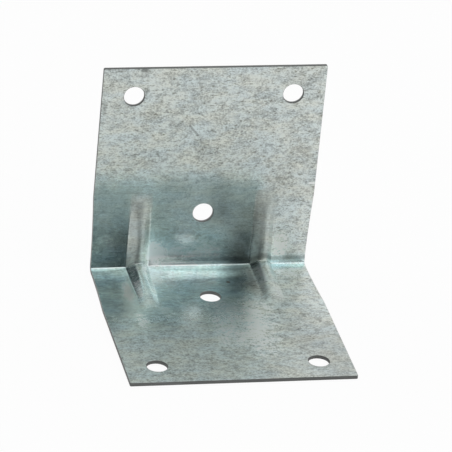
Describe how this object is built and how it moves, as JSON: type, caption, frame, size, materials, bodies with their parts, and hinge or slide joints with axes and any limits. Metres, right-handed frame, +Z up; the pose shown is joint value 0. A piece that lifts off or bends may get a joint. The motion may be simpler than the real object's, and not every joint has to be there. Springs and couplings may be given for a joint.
{
  "type": "corner brace bracket",
  "caption": "Folded galvanised sheet corner brace with screw holes in both legs and two stiffening ribs pressed through the fold.",
  "frame": {"origin": "centre of the bottom of the bounding box, on the outer face of the base leg", "axes": "+X along the fold, +Y out of the back leg's outer face, +Z up from the base leg"},
  "size_m": [0.06, 0.0604, 0.0605],
  "materials": {
    "zinc": "satin"
  },
  "bodies": {
    "root": {"bracket": "zinc"}
  },
  "joints": []
}
